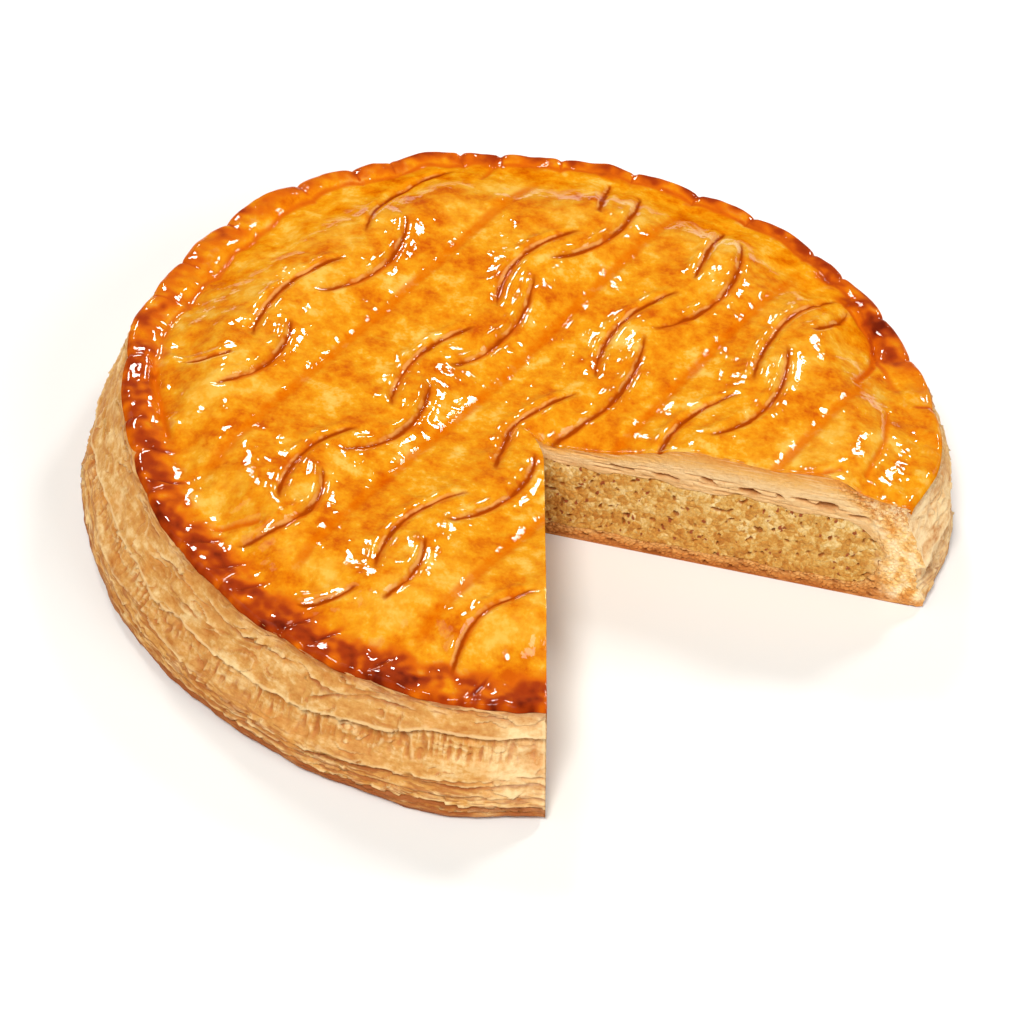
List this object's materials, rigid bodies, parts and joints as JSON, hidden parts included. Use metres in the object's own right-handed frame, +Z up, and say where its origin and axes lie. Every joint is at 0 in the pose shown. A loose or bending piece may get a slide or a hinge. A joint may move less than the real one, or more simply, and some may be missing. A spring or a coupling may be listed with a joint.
{
  "type": "galette des rois",
  "caption": "Round glazed puff-pastry cake with an almond filling, scored in bands of twisted curves, one slice cut out; a festive food that rests on a table or plate.",
  "frame": {"origin": "middle of the flat base, on the table, where the axis of the round cake would meet it", "axes": "+Z up through the glazed top; the missing slice lies between the -Y and +X directions"},
  "size_m": [0.2606, 0.2617, 0.0452],
  "materials": {
    "baked_pastry": "dry baked puff pastry, flaky layers, pale biscuit to brown",
    "almond_crumb": "moist crumbly almond filling with brown skin flecks",
    "glazed_pastry": "egg-glazed puff pastry, golden orange to mahogany at the rim, glossy"
  },
  "bodies": {
    "root": {"pastry_base": "baked_pastry", "almond_filling": "almond_crumb", "pastry_lid": "glazed_pastry"}
  },
  "joints": []
}
